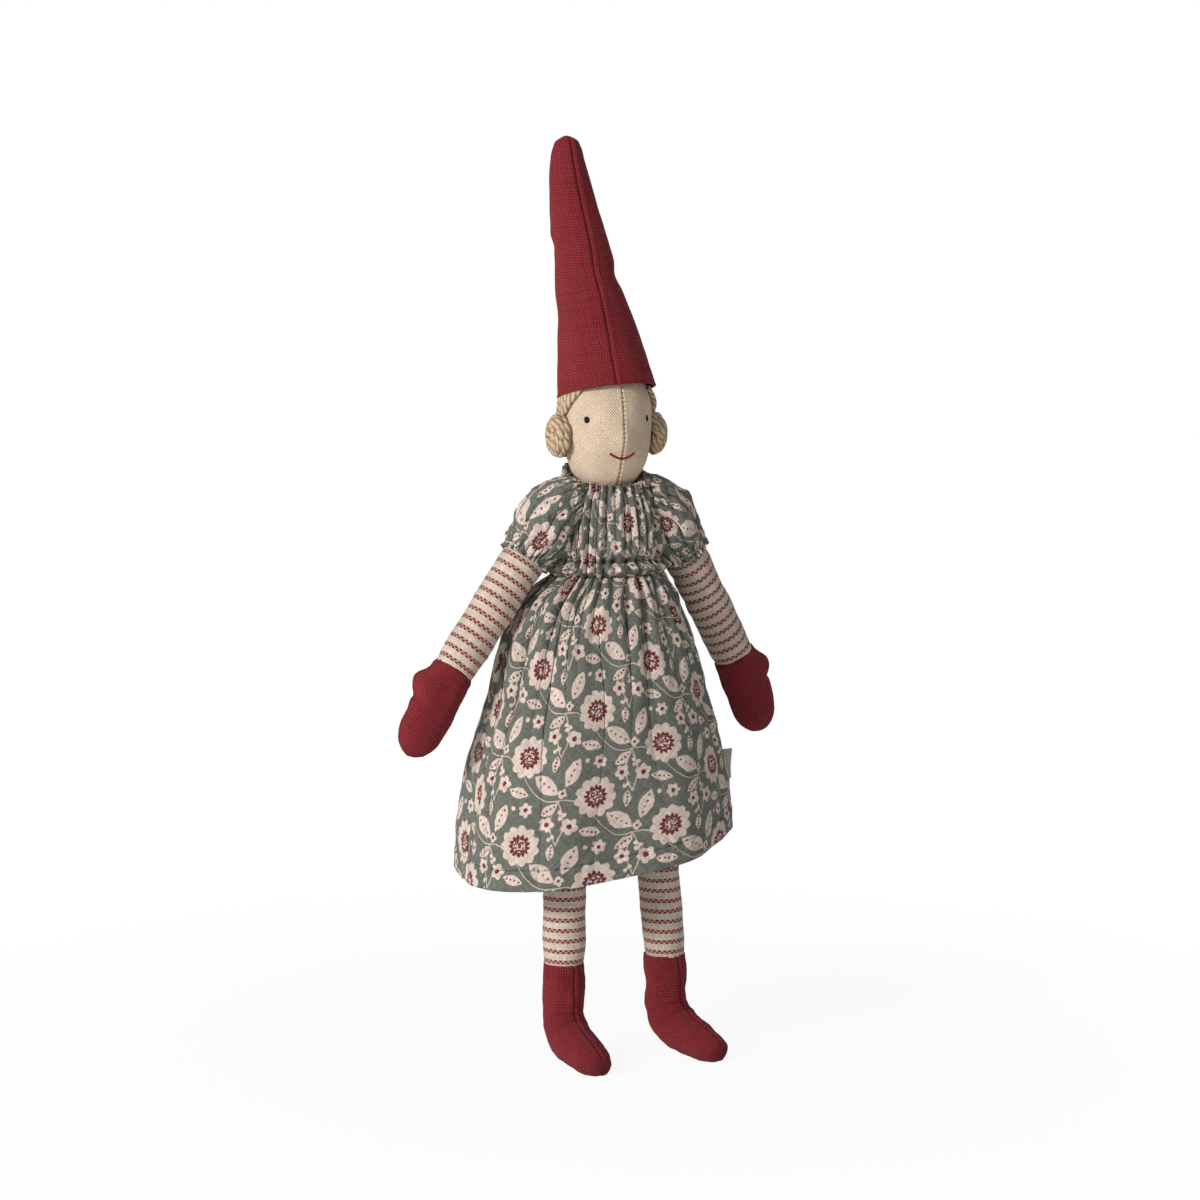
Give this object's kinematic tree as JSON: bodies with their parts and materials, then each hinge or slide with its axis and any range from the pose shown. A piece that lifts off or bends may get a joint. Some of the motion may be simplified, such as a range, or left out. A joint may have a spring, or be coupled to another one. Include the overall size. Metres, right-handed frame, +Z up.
{
  "type": "gnome rag doll",
  "caption": "Stuffed cloth gnome girl with a tall red hat, yarn buns, flower print dress, striped limbs, red mittens and boots, jointed at neck, shoulders and hips.",
  "frame": {"origin": "bottom centre of the whole doll's box, at the level of the toes", "axes": "+Z up through the doll, face and toes towards -Y, the doll's left towards +X"},
  "size_m": [0.1692, 0.0744, 0.3601],
  "materials": {
    "plain_cloth": "beige cotton, plain weave",
    "striped_cloth": "natural linen with fine red stripes",
    "red_cloth": "deep red coarse linen",
    "dress_cloth": null,
    "yarn": "flaxen twisted yarn",
    "black_thread": "satin stitch",
    "red_thread": "satin stitch",
    "sewing_thread": "cotton thread",
    "elastic": "covered elastic thread",
    "stuffing": "polyester fibre",
    "label_tape": "woven tape, blank"
  },
  "bodies": {
    "torso": {"bodice_back": "dress_cloth", "bodice_front": "dress_cloth", "dress_tag": "label_tape", "neck_elastic": "elastic", "skirt_back": "dress_cloth", "skirt_front": "dress_cloth", "torso_back": "plain_cloth", "torso_front": "plain_cloth", "torso_stuffing": "stuffing", "waist_elastic": "elastic"},
    "neck": {"neck_stitch": "sewing_thread"},
    "head": {"bun_left": "yarn", "bun_right": "yarn", "eye_left": "black_thread", "eye_right": "black_thread", "hair": "yarn", "hat_left": "red_cloth", "hat_right": "red_cloth", "hat_stuffing": "stuffing", "head_left": "plain_cloth", "head_right": "plain_cloth", "head_stuffing": "stuffing", "mouth_stitch": "red_thread"},
    "shoulder_left": {"shoulder_stitch_left": "sewing_thread", "sleeve_left": "dress_cloth"},
    "shoulder_right": {"shoulder_stitch_right": "sewing_thread", "sleeve_right": "dress_cloth"},
    "arm_left": {"arm_skin_left": "striped_cloth", "arm_stuffing_left": "stuffing", "mitten_back_left": "red_cloth", "mitten_front_left": "red_cloth", "sleeve_elastic_left": "elastic"},
    "arm_right": {"arm_skin_right": "striped_cloth", "arm_stuffing_right": "stuffing", "mitten_back_right": "red_cloth", "mitten_front_right": "red_cloth", "sleeve_elastic_right": "elastic"},
    "hips": {"hip_seam": "sewing_thread"},
    "leg_left": {"boot_inner_left": "red_cloth", "boot_outer_left": "red_cloth", "leg_skin_left": "striped_cloth", "leg_stuffing_left": "stuffing"},
    "leg_right": {"boot_inner_right": "red_cloth", "boot_outer_right": "red_cloth", "leg_skin_right": "striped_cloth", "leg_stuffing_right": "stuffing"}
  },
  "joints": [
    {"name": "head_turn", "type": "hinge", "parent": "torso", "child": "neck", "pos_m": [0.00348, -0.00349, 0.22017], "axis": [0, 0, 1], "range_deg": [-35, 35], "stiffness_Nm_per_rad": 0.06},
    {"name": "head_nod", "type": "hinge", "parent": "neck", "child": "head", "pos_m": [0.00348, -0.00349, 0.22497], "axis": [1, 0, 0], "range_deg": [-10, 10], "stiffness_Nm_per_rad": 0.2},
    {"name": "arm_left_swing", "type": "hinge", "parent": "torso", "child": "shoulder_left", "pos_m": [0.02928, -0.00349, 0.21147], "axis": [-1, 0, 0], "range_deg": [-33, 162]},
    {"name": "arm_left_raise", "type": "hinge", "parent": "shoulder_left", "child": "arm_left", "pos_m": [0.02928, -0.00349, 0.21147], "axis": [0, -0.9781, -0.2079], "range_deg": [-5, 100], "deforming": ["sleeve_left"]},
    {"name": "arm_right_swing", "type": "hinge", "parent": "torso", "child": "shoulder_right", "pos_m": [-0.02232, -0.00349, 0.21147], "axis": [-1, 0, 0], "range_deg": [-45, 150]},
    {"name": "arm_right_raise", "type": "hinge", "parent": "shoulder_right", "child": "arm_right", "pos_m": [-0.02232, -0.00349, 0.21147], "axis": [0, 1, 0], "range_deg": [-10, 95], "deforming": ["sleeve_right"]},
    {"name": "sit", "type": "hinge", "parent": "torso", "child": "hips", "pos_m": [0.00348, -0.00349, 0.14597], "axis": [-1, 0, 0], "range_deg": [0, 90], "deforming": ["skirt_front", "skirt_back"]},
    {"name": "leg_left_swing", "type": "hinge", "parent": "hips", "child": "leg_left", "pos_m": [0.00348, -0.00349, 0.14597], "axis": [-1, 0, 0], "range_deg": [-15, 15]},
    {"name": "leg_right_swing", "type": "hinge", "parent": "hips", "child": "leg_right", "pos_m": [0.00348, -0.00349, 0.14597], "axis": [-1, 0, 0], "range_deg": [-15, 15]}
  ]
}
